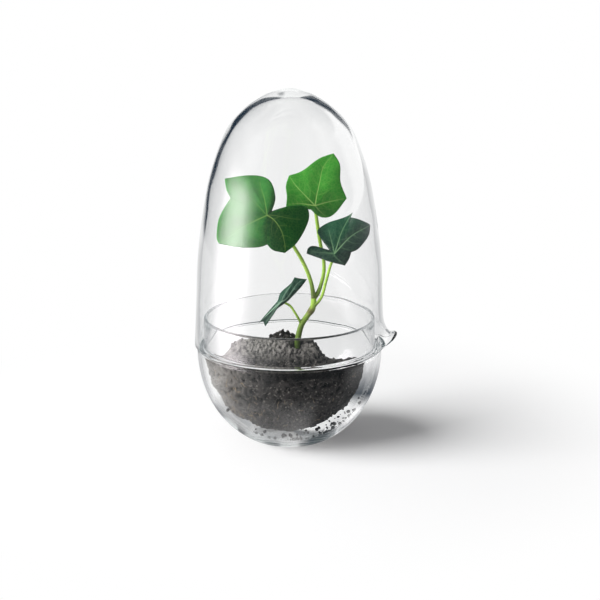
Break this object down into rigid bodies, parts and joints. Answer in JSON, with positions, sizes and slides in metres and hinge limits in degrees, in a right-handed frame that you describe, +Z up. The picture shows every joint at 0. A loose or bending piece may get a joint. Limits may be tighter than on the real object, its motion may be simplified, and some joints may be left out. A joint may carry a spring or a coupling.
{
  "type": "mini greenhouse",
  "caption": "Clear blown-glass table greenhouse: a round bowl of potting soil with an ivy plant, under a tall lift-off dome with a pouring lip.",
  "frame": {"origin": "centre of the underside of the bowl's foot, on the table", "axes": "+Z up along the axis of bowl and dome, +X towards the pouring lip, +Y to the back"},
  "size_m": [0.1198, 0.112, 0.21],
  "materials": {
    "clear_glass": "clear blown glass, fire-polished edges",
    "potting_soil": "damp crumbly potting soil with fine roots",
    "ivy_stem": "smooth yellow-green shoot",
    "ivy_leaf_green": "waxy mid-green leaf with pale veins",
    "ivy_leaf_dark": "waxy dark blue-green leaf with pale veins"
  },
  "bodies": {
    "bowl": {"glass_bowl": "clear_glass", "potting_soil": "potting_soil", "soil_crumb_1": "potting_soil", "soil_crumb_2": "potting_soil", "soil_crumb_3": "potting_soil", "soil_crumb_4": "potting_soil", "soil_crumb_5": "potting_soil", "soil_crumb_6": "potting_soil", "soil_crumb_7": "potting_soil", "main_stem": "ivy_stem", "leaf_stalk_left": "ivy_stem", "leaf_stalk_top": "ivy_stem", "leaf_stalk_right": "ivy_stem", "leaf_stalk_low": "ivy_stem", "leaf_left": "ivy_leaf_green", "leaf_top": "ivy_leaf_green", "leaf_right": "ivy_leaf_dark", "leaf_low": "ivy_leaf_dark"},
    "dome": {"glass_dome": "clear_glass"}
  },
  "joints": [
    {"name": "dome_lift", "type": "slide", "parent": "bowl", "child": "dome", "axis": [0, 0, 1], "range_m": [0, 0.13]}
  ]
}
